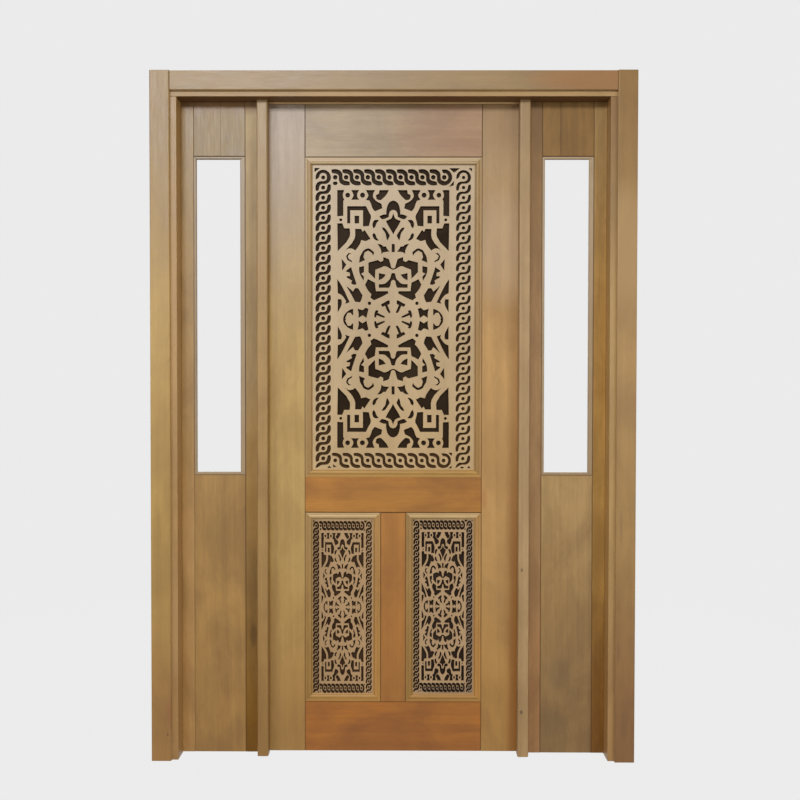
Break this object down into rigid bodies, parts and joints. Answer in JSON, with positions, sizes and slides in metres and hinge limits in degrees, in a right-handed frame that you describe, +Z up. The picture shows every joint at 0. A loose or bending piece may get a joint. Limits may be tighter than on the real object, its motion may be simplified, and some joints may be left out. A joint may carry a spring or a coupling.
{
  "type": "door with frame and sidelights",
  "caption": "Carved wooden entrance door in its frame: pierced arabesque fretwork panels over dark glass, narrow glazed sidelights and a plain flat casing.",
  "frame": {"origin": "On the floor under the middle of the whole box, hinge knuckles included.", "axes": "+Z up from the floor, +X to the right as seen from the front, -Y out of the front, +Y towards the back, where the leaf opens."},
  "size_m": [1.536, 0.1226, 2.188],
  "materials": {
    "frame_wood": "satin varnish, honey tan",
    "sidelight_wood": "satin varnish, olive tan",
    "leaf_wood": "satin varnish, golden tan",
    "rail_wood": "satin varnish, reddish tan",
    "moulding_wood": "satin varnish, light tan",
    "fretwork_wood": "satin varnish, pale tan",
    "clear_glass": "clear float glass",
    "dark_glass": "dark tinted glass",
    "hinge_metal": "satin brass"
  },
  "bodies": {
    "frame": {"casing_head": "frame_wood", "casing_left": "frame_wood", "casing_right": "frame_wood", "head_stop": "frame_wood", "hinge_bottom_frame_half": "hinge_metal", "hinge_middle_frame_half": "hinge_metal", "hinge_pins": "hinge_metal", "hinge_top_frame_half": "hinge_metal", "jamb_head": "frame_wood", "jamb_left": "frame_wood", "jamb_right": "frame_wood", "post_left": "frame_wood", "post_right": "frame_wood", "sidelight_left_bead_bottom": "sidelight_wood", "sidelight_left_bead_inner": "sidelight_wood", "sidelight_left_bead_outer": "sidelight_wood", "sidelight_left_bead_top": "sidelight_wood", "sidelight_left_glass": "clear_glass", "sidelight_left_inner_stile": "sidelight_wood", "sidelight_left_outer_stile": "sidelight_wood", "sidelight_left_panel": "sidelight_wood", "sidelight_left_top_rail": "sidelight_wood", "sidelight_right_bead_bottom": "sidelight_wood", "sidelight_right_bead_inner": "sidelight_wood", "sidelight_right_bead_outer": "sidelight_wood", "sidelight_right_bead_top": "sidelight_wood", "sidelight_right_glass": "clear_glass", "sidelight_right_inner_stile": "sidelight_wood", "sidelight_right_outer_stile": "sidelight_wood", "sidelight_right_panel": "sidelight_wood", "sidelight_right_top_rail": "sidelight_wood"},
    "leaf": {"hinge_bottom_leaf_half": "hinge_metal", "hinge_middle_leaf_half": "hinge_metal", "hinge_top_leaf_half": "hinge_metal", "leaf_bottom_rail": "rail_wood", "leaf_closing_stile": "leaf_wood", "leaf_hinge_stile": "leaf_wood", "leaf_middle_rail": "rail_wood", "leaf_muntin": "rail_wood", "leaf_top_rail": "rail_wood", "lower_left_fretwork": "fretwork_wood", "lower_left_glass": "dark_glass", "lower_left_moulding_bottom": "moulding_wood", "lower_left_moulding_left": "moulding_wood", "lower_left_moulding_right": "moulding_wood", "lower_left_moulding_top": "moulding_wood", "lower_right_fretwork": "fretwork_wood", "lower_right_glass": "dark_glass", "lower_right_moulding_bottom": "moulding_wood", "lower_right_moulding_left": "moulding_wood", "lower_right_moulding_right": "moulding_wood", "lower_right_moulding_top": "moulding_wood", "upper_fretwork": "fretwork_wood", "upper_glass": "dark_glass", "upper_moulding_bottom": "moulding_wood", "upper_moulding_left": "moulding_wood", "upper_moulding_right": "moulding_wood", "upper_moulding_top": "moulding_wood"}
  },
  "joints": [
    {"name": "leaf_swing", "type": "hinge", "parent": "frame", "child": "leaf", "pos_m": [-0.4115, 0.05525, 1], "axis": [0, 0, 1], "range_deg": [0, 120]}
  ]
}
